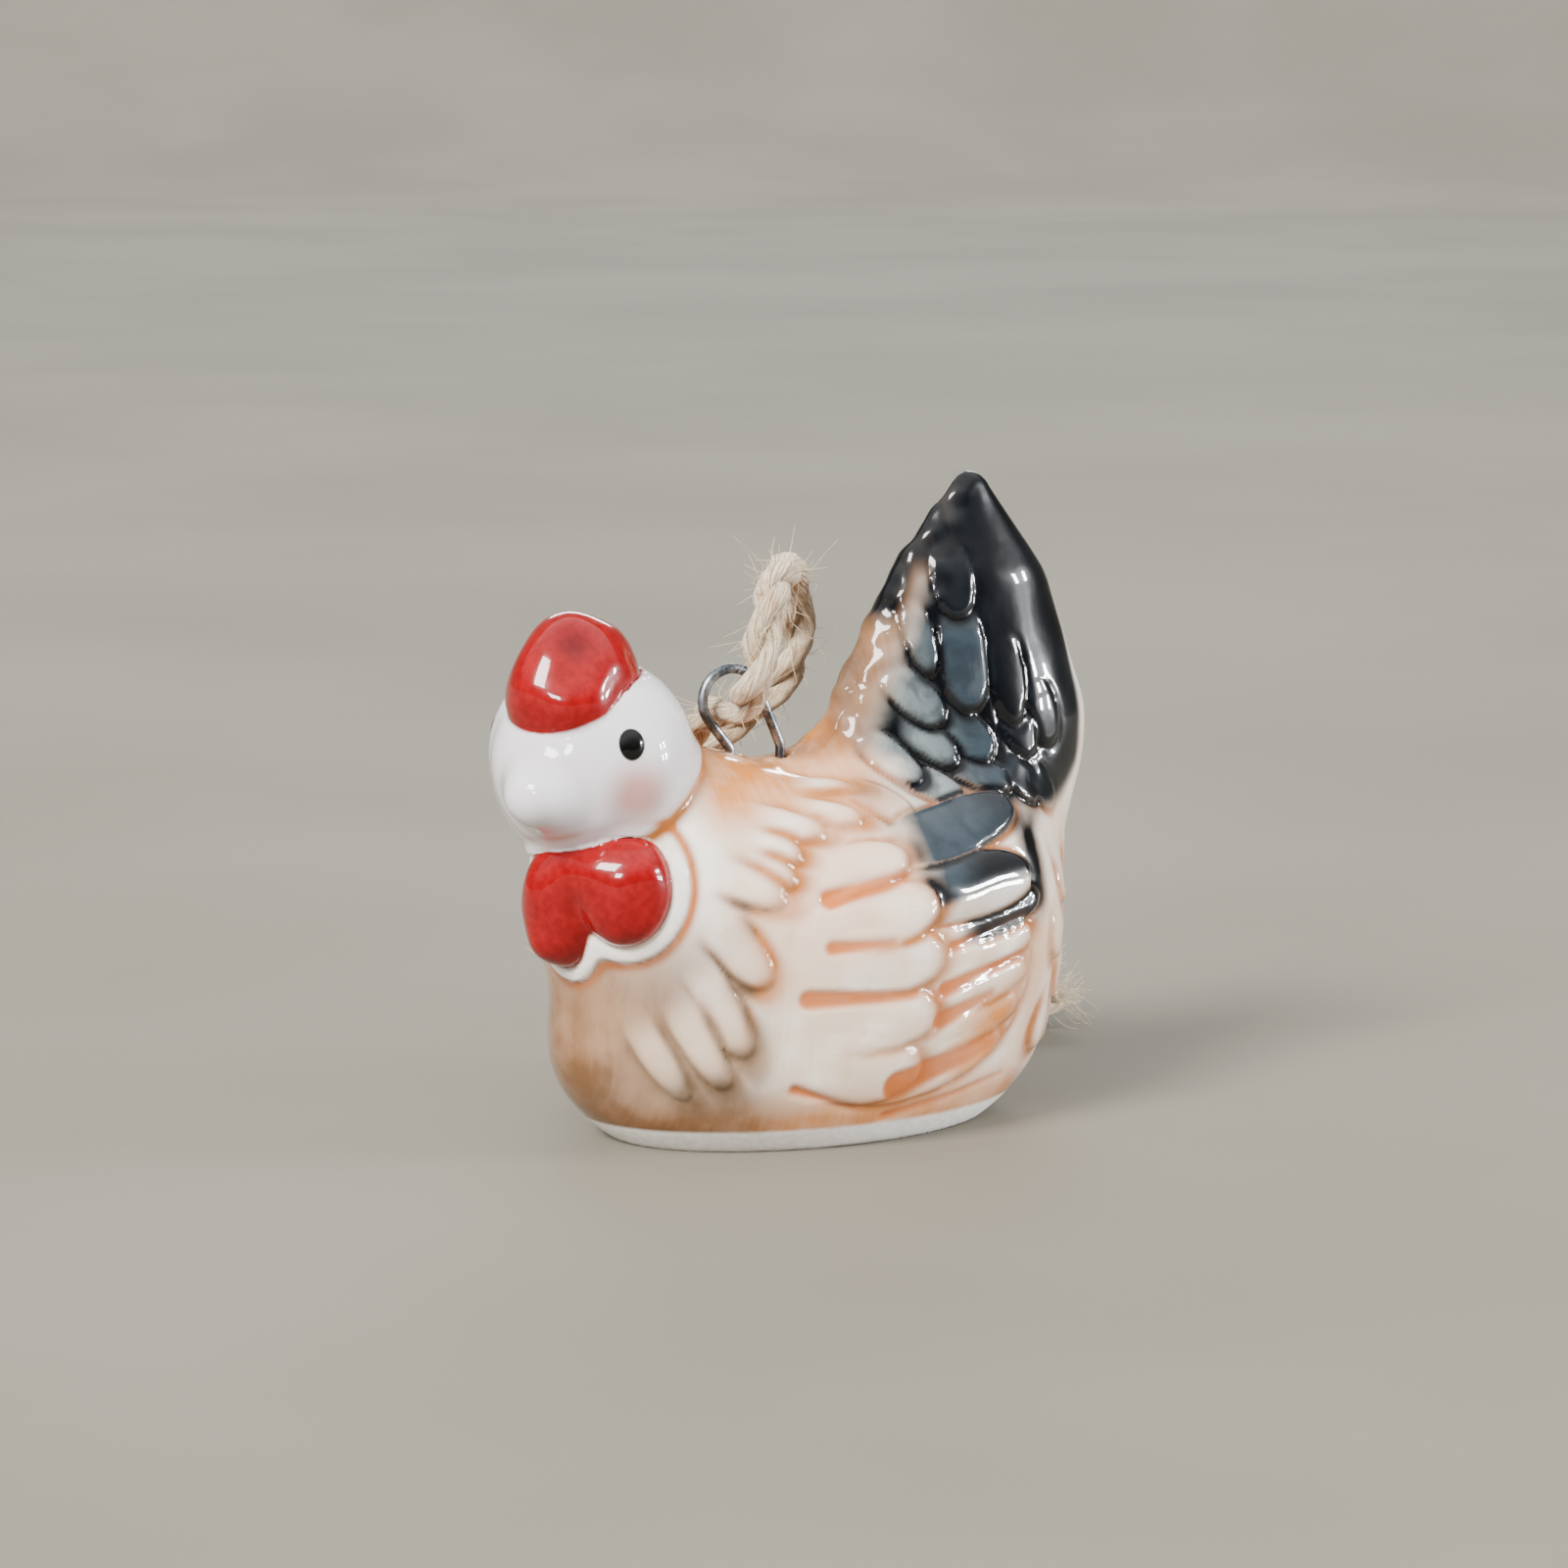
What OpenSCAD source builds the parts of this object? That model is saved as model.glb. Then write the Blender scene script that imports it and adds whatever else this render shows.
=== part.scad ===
/* [Body] */
// Length of the lower body, chest to rump
body_len = 41.6; // [38:0.2:44]
// Width of the body over both wings
body_w = 28.8; // [26:0.2:31]
// Height of the back above the table, at its lowest
back_h = 28.7; // [27.5:0.1:30]
// Thickness of the fired wall
wall = 2.4; // [2:0.1:3]
// Height of the straight inside edge of the foot ring
foot_h = 1.2; // [0.8:0.1:2]

/* [Head] */
// How far the head turns to the hen's left, in degrees
head_turn = 32; // [20:1:40]
// Radius of the head
head_r = 7.6; // [7:0.1:8]
// Length of the comb, front to back
comb_len = 10.6; // [9:0.2:12]
// Length of the wattles, top to bottom
wattle_len = 9.6; // [8:0.2:11]

/* [Tail] */
// Height of the tail's tip above the table
tail_top = 50.5; // [48:0.5:52]
// Width of the tail, front edge to rear edge, at its root
tail_w = 23.2; // [21:0.2:24]
// Thickness of the tail as a share of its width
tail_thin = 0.42; // [0.36:0.02:0.5]

/* [Hanger] */
// Diameter of the steel hanger wire
wire_d = 0.8; // [0.6:0.1:1]
// Diameter of the two wire holes in the back
hole_d = 1.6; // [1.4:0.1:1.8]
// Distance between the two wire holes
hole_gap = 4.4; // [4:0.2:5]
// Radius of the wire eye, to the middle of the wire
eye_r = 2.45; // [2.3:0.05:2.6]

/* [Clapper] */
// Diameter of the clapper bead
bead_d = 7; // [6:0.5:7.5]
// Diameter of the wire that the jump ring is bent from
ring_wire_d = 0.7; // [0.6:0.1:0.8]
// Radial play of the linked wires and of the bead on its pin
play = 0.05; // [0.03:0.01:0.08]

/* [Twine] */
// Diameter of the jute twine
twine_d = 2.2; // [2:0.1:2.3]

/* [Hidden] */
$fn = 48;

// The hen is one hollow casting. Its skin is the zero surface of a field that blends a few rounded
// masses. X runs to the hen's left, -Y to its front and Z up, and the middle of its length is at y = 0.
mid_y = 0.9;
bowl_mid = [0, mid_y, 7.5];
bowl_r = [body_w / 2 - 1.2, body_len / 2, 11.5];
back_mid = [0, mid_y - 0.3, 15.5];
back_r = [body_w / 2, body_len / 2 - 1, back_h - 15.5];
neck_mid = [0.6, -11.7, 21.5];
neck_r = [9.6, 9.8, 9.5];
rump_mid = [0, 13.8, 16.5];
rump_r = [10.5, 9, 12];

head_mid = [2.2, -18.1, 30.3];
face = [sin(head_turn), -cos(head_turn), 0];
comb_mid = head_mid + 1.9 * face + [0, 0, 6.3];
comb_r = [4.6, comb_len / 2, 5.2];
comb_tilt = 18;
beak_mid = head_mid + 6.4 * face - [0, 0, 1.6];
beak_r = [3, 3.2, 2.7];
left_wattle_mid = [6.9, -17.4, 21.2];
left_wattle_r = [4, 3.4, wattle_len / 2 - 0.2];
right_wattle_mid = [2.5, -20.3, 19.6];
right_wattle_r = [3.2, 3.4, wattle_len / 2 + 0.2];

// The tail is a chain of round cones in the middle plane, flattened sideways by tail_thin.
tail_tip_r = 2.1;
tail_mid_r = 8;
tail_root_r = tail_w / 2;
tail_tip = [0, 16, tail_top - tail_tip_r];
tail_mid = [0, 15.8, tail_top - 12];
tail_root = [0, 15, tail_top - 21];

// The skin is found along rays from a core point inside the body, far is outside it all round.
skin_core = [0, 1, 16];
cavity_core = [0, 1, 10];
far = 46;
near_enough = 0.01;
step_share = 0.8;
max_steps = 60;
skin_rings = 36;
skin_spokes = 56;
cavity_rings = 16;
cavity_spokes = 32;
below = 3;

// Wire and clapper, all in the plane x = 0 or across it
wire_r = wire_d / 2;
hanger_y = -2.9;
front_hole_y = hanger_y - hole_gap / 2;
rear_hole_y = hanger_y + hole_gap / 2;
hole_top = 32;
hole_bottom = 24;
bar_z = 24.6;
shoulder_z = 30;
eye_mid = [-5, 33.8];
eye_corners = 3;
bend_r = 0.8;
ring_r = 1.5 + ring_wire_d / 2;
ring_z = bar_z - (1.5 - wire_r - play);
ring_low = ring_z - ring_r;
pin_eye_in = 1;
pin_eye_r = pin_eye_in + wire_r;
pin_eye_z = ring_low - (pin_eye_in - ring_wire_d / 2 - play);
bead_z = 7;
bead_bore_r = wire_r + play;
head_disc_r = 1.1;
head_disc_h = 0.6;
head_disc_z = bead_z - bead_d / 2 - head_disc_h;

// The twine's route, from one cut end to the other: through the knot behind the hen, along the table,
// up the hen's right side, over the top, through the wire eye and back down the same side to the knot.
twine_sides = 8;
twine_route = [
    [-20.8, 37, 2.4], [-21, 33.5, 1.5], [-20.8, 30, 1.2], [-20.6, 22, 1.2], [-20.6, 13, 1.2],
    [-20.4, 5, 1.4], [-19.2, -0.8, 4], [-17.4, -4, 10], [-16.4, -5, 16.5], [-15, -4.4, 22.6],
    [-12.6, -1.8, 27.6], [-10.4, 1.8, 30.8], [-8.8, 4.2, 34.2], [-7.4, 4.6, 38], [-5.2, 3.2, 41.4],
    [-1.8, 0.8, 43.4], [1.7, -1.9, 43], [4.2, -3.9, 40.9], [4.8, -4.9, 37.7], [3.9, -5.1, 35.2],
    [2, -5, 33.7], [-0.4, -4.8, 33.2], [-4, -4.9, 32.1], [-7.4, -5.5, 29.8], [-10.4, -6.8, 26.5],
    [-13.6, -8.4, 22.2], [-15.8, -9.2, 16.5], [-17.2, -8.8, 10], [-19.2, -6.8, 4.4], [-22, -2.4, 1.5],
    [-23.8, 4, 1.2], [-24.4, 13, 1.2], [-24, 22, 1.2], [-23.4, 30, 1.2], [-23.6, 33.5, 1.8],
    [-24.6, 37, 4]
];
knot_mid = [-22.1, 30.6, 2.5];
knot_r = [3.1, 2.7, 2.5];

// Rounded masses as distances: negative inside, zero on the surface
function blend(a, b, k) = let (h = max(k - abs(a - b), 0) / k) min(a, b) - h * h * k / 4;

function egg(q, r) =
    let (
        a = norm([q.x / r.x, q.y / r.y, q.z / r.z]),
        b = norm([q.x / r.x / r.x, q.y / r.y / r.y, q.z / r.z / r.z])
    )
    a * (a - 1) / max(b, 0.000001);

function turned(q, turn, tilt) =
    let (
        x = q.x * cos(turn) + q.y * sin(turn),
        y = q.y * cos(turn) - q.x * sin(turn)
    )
    [x, y * cos(tilt) + q.z * sin(tilt), q.z * cos(tilt) - y * sin(tilt)];

function round_cone(p, a, ra, b, rb) =
    let (
        ba = b - a,
        l2 = ba * ba,
        rr = ra - rb,
        a2 = l2 - rr * rr,
        pa = p - a,
        y = pa * ba,
        z = y - l2,
        side = pa * l2 - ba * y,
        x2 = side * side,
        y2 = y * y * l2,
        z2 = z * z * l2,
        k = sign(rr) * rr * rr * x2
    )
    sign(z) * a2 * z2 > k ? sqrt(x2 + z2) / l2 - rb
    : sign(y) * a2 * y2 < k ? sqrt(x2 + y2) / l2 - ra
    : (sqrt(x2 * a2 / l2) + y * rr) / l2 - ra;

function trunk_field(p) =
    let (
        low = blend(egg(p - bowl_mid, bowl_r), egg(p - back_mid, back_r), 4),
        neck = blend(low, egg(p - neck_mid, neck_r), 5)
    )
    blend(neck, egg(p - rump_mid, rump_r), 4);

function tail_field(p) =
    let (q = [p.x / tail_thin, p.y, p.z])
    min(
        round_cone(q, tail_tip, tail_tip_r, tail_mid, tail_mid_r),
        round_cone(q, tail_mid, tail_mid_r, tail_root, tail_root_r)
    ) * 0.6;

function hen_field(p) =
    let (
        head = egg(turned(p - head_mid, head_turn, 0), [head_r, head_r, head_r]),
        beak = egg(turned(p - beak_mid, head_turn, 0), beak_r),
        comb = egg(turned(p - comb_mid, head_turn, comb_tilt), comb_r),
        left_wattle = egg(turned(p - left_wattle_mid, head_turn, 0), left_wattle_r),
        right_wattle = egg(turned(p - right_wattle_mid, head_turn, 0), right_wattle_r),
        bird = blend(blend(blend(trunk_field(p), head, 2.2), tail_field(p), 5), beak, 1.5)
    )
    min(bird, comb, blend(left_wattle, right_wattle, 1));

// The inside follows the trunk at one wall's thickness, and drops straight through the foot ring.
function cavity_field(p) =
    max(trunk_field([p.x, p.y, max(p.z, foot_h)]) + wall, -p.z - below);

function field(p, inside) = inside ? cavity_field(p) : hen_field(p);

function reach(core, dir, r, inside, left) =
    let (d = field(core + r * dir, inside))
    left == 0 || d < near_enough ? r : reach(core, dir, r - step_share * d, inside, left - 1);

// Spokes crowd towards the head and the tail, and rings crowd towards the top.
function spoke_angle(share) = 360 * share + 16 * sin(720 * share);
function ring_angle(share) = 180 * pow(share, 1.15);

module star_solid(core, inside, rings, spokes) {
    points = concat(
        [core + [0, 0, reach(core, [0, 0, 1], far, inside, max_steps)]],
        [
            for (i = [1 : rings - 1], j = [0 : spokes - 1])
                let (
                    polar = ring_angle(i / rings),
                    around = spoke_angle(j / spokes),
                    dir = [sin(polar) * cos(around), sin(polar) * sin(around), cos(polar)]
                )
                core + dir * reach(core, dir, far, inside, max_steps)
        ],
        [core - [0, 0, reach(core, [0, 0, -1], far, inside, max_steps)]]
    );
    last = len(points) - 1;
    faces = concat(
        [for (j = [0 : spokes - 1]) [0, 1 + (j + 1) % spokes, 1 + j]],
        [
            for (i = [0 : rings - 3], j = [0 : spokes - 1])
                let (
                    a = 1 + i * spokes + j,
                    b = 1 + i * spokes + (j + 1) % spokes
                )
                each [[a, b, b + spokes], [a, b + spokes, a + spokes]]
        ],
        [for (j = [0 : spokes - 1]) [last, last - spokes + j, last - spokes + (j + 1) % spokes]]
    );
    polyhedron(points, faces);
}

module hen_shell() {
    color("wheat")
    difference() {
        star_solid(skin_core, false, skin_rings, skin_spokes);
        star_solid(cavity_core, true, cavity_rings, cavity_spokes);
        translate([-far, -far, -2 * far])
            cube(2 * far);
        for (y = [front_hole_y, rear_hole_y])
            translate([0, y, hole_bottom])
                cylinder(d = hole_d, h = hole_top - hole_bottom);
    }
}

// A closed round wire in a plane: straight runs between the corners, each corner bent to its own radius
function bearing(v) = atan2(v.y, v.x);

function turn_at(p, i) =
    let (
        n = len(p),
        into = bearing(p[i] - p[(i + n - 1) % n]),
        out = bearing(p[(i + 1) % n] - p[i]),
        raw = out - into
    )
    raw - 360 * round(raw / 360);

function bend_run(p, r, i) = r[i] * tan(abs(turn_at(p, i)) / 2);

module wire_straight(a, b, rod_r) {
    run = norm(b - a);
    if (run > near_enough)
        translate([a.x, a.y, 0])
            rotate([0, 90, bearing(b - a)])
                cylinder(r = rod_r, h = run);
}

module wire_bend(p, r, i, rod_r) {
    n = len(p);
    into = bearing(p[i] - p[(i + n - 1) % n]);
    turn = turn_at(p, i);
    inward = into + 90 * sign(turn);
    start = p[i] - bend_run(p, r, i) * [cos(into), sin(into)];
    mid = start + r[i] * [cos(inward), sin(inward)];
    translate([mid.x, mid.y, 0])
        rotate([0, 0, min(inward + 180, inward + 180 + turn)])
            rotate_extrude(angle = abs(turn))
                translate([r[i], 0])
                    circle(r = rod_r);
}

module closed_wire(p, r, rod_r) {
    n = len(p);
    for (i = [0 : n - 1]) {
        j = (i + 1) % n;
        along = unit(p[j] - p[i]);
        wire_bend(p, r, i, rod_r);
        wire_straight(p[i] + bend_run(p, r, i) * along, p[j] - bend_run(p, r, j) * along, rod_r);
    }
}

// The eye is a round bend, drawn as three corners that share one centre. Its two sides run down in
// straight lines to the shoulders, where the wire turns into the holes.
function side_bearing(shoulder, turn) =
    let (to_eye = eye_mid - shoulder)
    bearing(to_eye) + turn * asin(eye_r / norm(to_eye));

module hanger_wire() {
    front_shoulder = [front_hole_y, shoulder_z];
    rear_shoulder = [rear_hole_y, shoulder_z];
    up = side_bearing(front_shoulder, 1);
    down = side_bearing(rear_shoulder, -1) - 180;
    share = (up - down) / eye_corners;
    eye = [
        for (i = [0 : eye_corners - 1])
            let (out = up + 90 - share * (i + 0.5))
            eye_mid + eye_r / cos(share / 2) * [cos(out), sin(out)]
    ];
    corners = concat(
        [[rear_hole_y, bar_z], [front_hole_y, bar_z], front_shoulder],
        eye,
        [rear_shoulder]
    );
    radii = concat(
        [bend_r, bend_r, bend_r],
        [for (i = [1 : eye_corners]) eye_r],
        [bend_r]
    );
    color("slategray")
        rotate([90, 0, 90])
            closed_wire(corners, radii, wire_r);
}

module clapper_ring() {
    color("silver")
        translate([0, hanger_y, ring_z])
            rotate([90, 0, 0])
                rotate_extrude()
                    translate([ring_r, 0])
                        circle(d = ring_wire_d);
}

module clapper_pin() {
    color("silver") {
        translate([0, hanger_y, pin_eye_z])
            rotate([0, 90, 0])
                rotate_extrude()
                    translate([pin_eye_r, 0])
                        circle(r = wire_r);
        translate([0, hanger_y, head_disc_z])
            cylinder(r = wire_r, h = pin_eye_z - pin_eye_r - head_disc_z);
        translate([0, hanger_y, head_disc_z])
            cylinder(r = head_disc_r, h = head_disc_h);
    }
}

module clapper_bead() {
    color("burlywood")
        translate([0, hanger_y, bead_z])
            difference() {
                sphere(d = bead_d);
                cylinder(r = bead_bore_r, h = bead_d + 1, center = true);
            }
}

// The route is smoothed with one point between each two of its own.
function between(p, i) =
    (9 * (p[i] + p[i + 1]) - p[max(i - 1, 0)] - p[min(i + 2, len(p) - 1)]) / 16;

function smoothed(p) = [
    for (i = [0 : len(p) - 1])
        each (i < len(p) - 1 ? [p[i], between(p, i)] : [p[i]])
];

function unit(v) = v / norm(v);

function heading(p, i) = unit(p[min(i + 1, len(p) - 1)] - p[max(i - 1, 0)]);

// The ring's own side direction is carried along the route, so that the tube doesn't twist.
function carried(side, run) = unit(side - (side * run) * run);

module cord_tube(route, d, sides) {
    p = smoothed(route);
    side_dirs = [
        for (
            i = 0, side = carried([1, 0, 0], heading(p, 0));
            i < len(p);
            i = i + 1, side = i < len(p) ? carried(side, heading(p, i)) : side
        )
            side
    ];
    rings = [
        for (i = [0 : len(p) - 1], k = [0 : sides - 1])
            p[i] + d / 2 * (
                cos(360 * k / sides) * side_dirs[i]
                + sin(360 * k / sides) * cross(heading(p, i), side_dirs[i])
            )
    ];
    walls = [
        for (i = [0 : len(p) - 2], k = [0 : sides - 1])
            let (
                a = i * sides + k,
                b = i * sides + (k + 1) % sides
            )
            each [[a, b + sides, b], [a, a + sides, b + sides]]
    ];
    first = [for (k = [0 : sides - 1]) k];
    final = [for (k = [sides - 1 : -1 : 0]) (len(p) - 1) * sides + k];
    polyhedron(rings, concat(walls, [first, final]));
}

module twine() {
    color("tan")
        cord_tube(twine_route, twine_d, twine_sides);
}

module twine_knot() {
    color("tan")
        translate(knot_mid)
            resize(2 * knot_r)
                sphere(r = knot_r.x, $fn = 24);
}

hen_shell();
hanger_wire();
clapper_ring();
clapper_pin();
clapper_bead();
twine();
twine_knot();
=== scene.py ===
"""A small glazed earthenware hen bell: hollow hen, steel hanger wire, wooden clapper and jute loop."""

import math

import bmesh
import bpy
import numpy as np
import openvdb
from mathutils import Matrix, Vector


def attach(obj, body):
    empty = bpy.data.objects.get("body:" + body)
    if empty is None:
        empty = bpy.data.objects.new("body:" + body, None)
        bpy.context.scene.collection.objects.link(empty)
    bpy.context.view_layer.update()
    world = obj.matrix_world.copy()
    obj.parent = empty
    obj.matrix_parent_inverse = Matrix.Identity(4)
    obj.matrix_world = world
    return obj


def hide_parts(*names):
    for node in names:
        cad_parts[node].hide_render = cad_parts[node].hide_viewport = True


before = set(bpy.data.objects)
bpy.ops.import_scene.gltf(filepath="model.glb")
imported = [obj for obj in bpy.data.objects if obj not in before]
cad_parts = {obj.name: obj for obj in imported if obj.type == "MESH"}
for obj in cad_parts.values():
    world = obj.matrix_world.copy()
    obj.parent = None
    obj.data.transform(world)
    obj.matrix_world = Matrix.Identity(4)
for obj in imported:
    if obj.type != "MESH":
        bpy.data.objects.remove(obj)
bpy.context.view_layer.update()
MM = 0.001
scene = bpy.context.scene


# ---------------------------------------------------------------- camera
CAMERA_TURN = math.radians(62)
CAMERA_RISE = math.radians(13)
CAMERA_AWAY = 0.400
VIEW_WIDTH = 0.1245
SENSOR = 36.0

back = Vector((
    math.sin(CAMERA_TURN) * math.cos(CAMERA_RISE),
    -math.cos(CAMERA_TURN) * math.cos(CAMERA_RISE),
    math.sin(CAMERA_RISE),
))
right = Vector((math.cos(CAMERA_TURN), math.sin(CAMERA_TURN), 0))
up = back.cross(right)
foot_point = Vector((0, 0.0018, 0))
look_at = foot_point - 0.00195 * right + 0.0264 * up
eye_point = foot_point + CAMERA_AWAY * back

camera = bpy.data.objects.new("camera", bpy.data.cameras.new("camera"))
scene.collection.objects.link(camera)
scene.camera = camera
camera.location = eye_point
camera.rotation_euler = (look_at - eye_point).to_track_quat("-Z", "Y").to_euler()
camera.data.sensor_width = SENSOR
camera.data.lens = SENSOR * (look_at - eye_point).length / VIEW_WIDTH
camera.data.clip_start = 0.01
camera.data.clip_end = 10


# ---------------------------------------------------------------- node helpers
def srgb(r, g, b):
    """A colour given as 0 to 255 screen values, as linear RGBA."""
    out = []
    for v in (r, g, b):
        v = v / 255
        out.append(v / 12.92 if v <= 0.04045 else ((v + 0.055) / 1.055) ** 2.4)
    return (*out, 1.0)


class Shader:
    """Builds one node material."""

    def __init__(self, name):
        self.material = bpy.data.materials.new(name)
        self.material.use_nodes = True
        self.tree = self.material.node_tree
        self.bsdf = self.tree.nodes["Principled BSDF"]

    def add(self, kind, **settings):
        made = self.tree.nodes.new(kind)
        for key, value in settings.items():
            setattr(made, key, value)
        return made

    def put(self, value, socket):
        """Link a socket, or set a plain value."""
        if isinstance(value, bpy.types.NodeSocket):
            self.tree.links.new(value, socket)
        else:
            socket.default_value = value

    def attribute(self, name):
        made = self.add("ShaderNodeAttribute")
        made.attribute_name = name
        return made

    def parts(self, vector):
        made = self.add("ShaderNodeSeparateXYZ")
        self.put(vector, made.inputs[0])
        return made.outputs

    def place(self):
        return self.add("ShaderNodeTexCoord").outputs["Object"]

    def math(self, op, a, b, clamp=False):
        made = self.add("ShaderNodeMath", operation=op, use_clamp=clamp)
        for value, socket in zip((a, b), made.inputs):
            self.put(value, socket)
        return made.outputs[0]

    def step(self, value, low, high, out_low=0.0, out_high=1.0):
        """A smooth step from out_low to out_high as the value goes from low to high."""
        made = self.add("ShaderNodeMapRange", interpolation_type="SMOOTHSTEP")
        for v, socket in zip((value, low, high, out_low, out_high), made.inputs):
            self.put(v, socket)
        return made.outputs[0]

    def stretch(self, vector, x, y, z):
        made = self.add("ShaderNodeVectorMath", operation="MULTIPLY")
        self.put(vector, made.inputs[0])
        made.inputs[1].default_value = (x, y, z)
        return made.outputs[0]

    def noise(self, vector, scale, detail=2.0, rough=0.5, warp=0.0):
        made = self.add("ShaderNodeTexNoise")
        self.put(vector, made.inputs["Vector"])
        made.inputs["Scale"].default_value = scale
        made.inputs["Detail"].default_value = detail
        made.inputs["Roughness"].default_value = rough
        made.inputs["Distortion"].default_value = warp
        return made.outputs["Fac"]

    def mix(self, amount, a, b):
        made = self.add("ShaderNodeMix", data_type="RGBA")
        self.put(amount, made.inputs[0])
        self.put(a, made.inputs[6])
        self.put(b, made.inputs[7])
        return made.outputs[2]

    def bump(self, height, distance, strength):
        made = self.add("ShaderNodeBump")
        made.inputs["Strength"].default_value = strength
        made.inputs["Distance"].default_value = distance
        self.put(height, made.inputs["Height"])
        return made.outputs[0]

    def set(self, **sockets):
        """Set the main shader's inputs by their names in lower case."""
        for key, value in sockets.items():
            self.put(value, self.bsdf.inputs[key.replace("_", " ").title().replace("Ior", "IOR")])


def mesh_object(name, points, faces, material):
    """A smooth-shaded object in metres."""
    data = bpy.data.meshes.new(name)
    data.from_pydata([tuple(p) for p in points], [], [tuple(f) for f in faces])
    data.update()
    data.validate()
    data.polygons.foreach_set("use_smooth", [True] * len(data.polygons))
    data.materials.append(material)
    made = bpy.data.objects.new(name, data)
    scene.collection.objects.link(made)
    return made


# ---------------------------------------------------------------- twine
TWINE_STEP = 0.3
PLIES = 2
PLY_R = 0.78
PLY_OFFSET = 0.66
PLY_PITCH = 10.0
PLY_START = 0.2
PLY_SIDES = 10
PLY_FLOOR = 0.03
FIBRES = 760
FIBRE_R = 0.042
FIBRE_LONGEST = 6
FIBRE_CURL = 5.5
FIBRE_FLOOR = 0.08
END_FIBRES = 46
# the wire eye and its legs, with the room that the fibres leave them
EYE_MID = (-5, 33.8)
EYE_R = 2.45
EYE_CLEAR = 1.0
EYE_LEAN = 1.9
LEGS_FOOT = 24
LEGS_Y = (-8, 1)
TWINE_ROUTE = (
    (-20.8, 37, 2.4), (-21, 33.5, 1.5), (-20.8, 30, 1.2), (-20.6, 22, 1.2), (-20.6, 13, 1.2),
    (-20.4, 5, 1.4), (-19.2, -0.8, 4), (-17.4, -4, 10), (-16.4, -5, 16.5), (-15, -4.4, 22.6),
    (-12.6, -1.8, 27.6), (-10.4, 1.8, 30.8), (-8.8, 4.2, 34.2), (-7.4, 4.6, 38), (-5.2, 3.2, 41.4),
    (-1.8, 0.8, 43.4), (1.7, -1.9, 43), (4.2, -3.9, 40.9), (4.8, -4.9, 37.7), (3.9, -5.1, 35.2),
    (2, -5, 33.7), (-0.4, -4.8, 33.2), (-4, -4.9, 32.1), (-7.4, -5.5, 29.8), (-10.4, -6.8, 26.5),
    (-13.6, -8.4, 22.2), (-15.8, -9.2, 16.5), (-17.2, -8.8, 10), (-19.2, -6.8, 4.4), (-22, -2.4, 1.5),
    (-23.8, 4, 1.2), (-24.4, 13, 1.2), (-24, 22, 1.2), (-23.4, 30, 1.2), (-23.6, 33.5, 1.8),
    (-24.6, 37, 4),
)
KNOT_MID = np.array((-22.1, 30.6, 2.5))


def smooth_line(points, step):
    """Points on a smooth curve through the given ones, evenly spaced by about step."""
    p = np.array(points, float)
    p = np.vstack([2 * p[0] - p[1], p, 2 * p[-1] - p[-2]])
    out = []
    for i in range(1, len(p) - 2):
        a, b, c, d = p[i - 1], p[i], p[i + 1], p[i + 2]
        for t in np.linspace(0, 1, 24, endpoint=False):
            out.append(0.5 * (
                2 * b + (c - a) * t + (2 * a - 5 * b + 4 * c - d) * t**2
                + (3 * b - a - 3 * c + d) * t**3
            ))
    out.append(p[-2])
    out = np.array(out)
    run = np.r_[0, np.cumsum(np.linalg.norm(np.diff(out, axis=0), axis=1))]
    even = np.linspace(0, run[-1], int(run[-1] / step) + 1)
    return np.stack([np.interp(even, run, out[:, k]) for k in range(3)], 1)


def line_frames(line):
    """Direction, side and upper vector at each point, carried along without twist."""
    along = np.gradient(line, axis=0)
    along /= np.linalg.norm(along, axis=1)[:, None]
    side = np.zeros_like(along)
    first = np.cross(along[0], (0, 0, 1.0))
    side[0] = first / np.linalg.norm(first)
    for i in range(1, len(line)):
        s = side[i - 1] - along[i] * (side[i - 1] @ along[i])
        side[i] = s / np.linalg.norm(s)
    return along, side, np.cross(along, side)


def wave(run, seed, length):
    """A smooth wandering number between about -1 and 1 along a run in mm."""
    draw = np.random.default_rng(seed)
    out = np.zeros_like(run)
    for k in (1.0, 1.9, 3.3):
        out += np.sin(run * 2 * math.pi * k / length + draw.uniform(0, 6.28)) / k
    return out / 1.6


def tube_faces(start, sides, count):
    """Faces of a closed tube whose points come side after side, count along each, from index start."""
    faces = []
    for k in range(sides):
        k2 = (k + 1) % sides
        for i in range(count - 1):
            a, b = start + k * count + i, start + k2 * count + i
            faces.append((a, a + 1, b + 1, b))
    faces.append([start + k * count for k in range(sides)])
    faces.append([start + k * count + count - 1 for k in reversed(range(sides))])
    return faces


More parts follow.
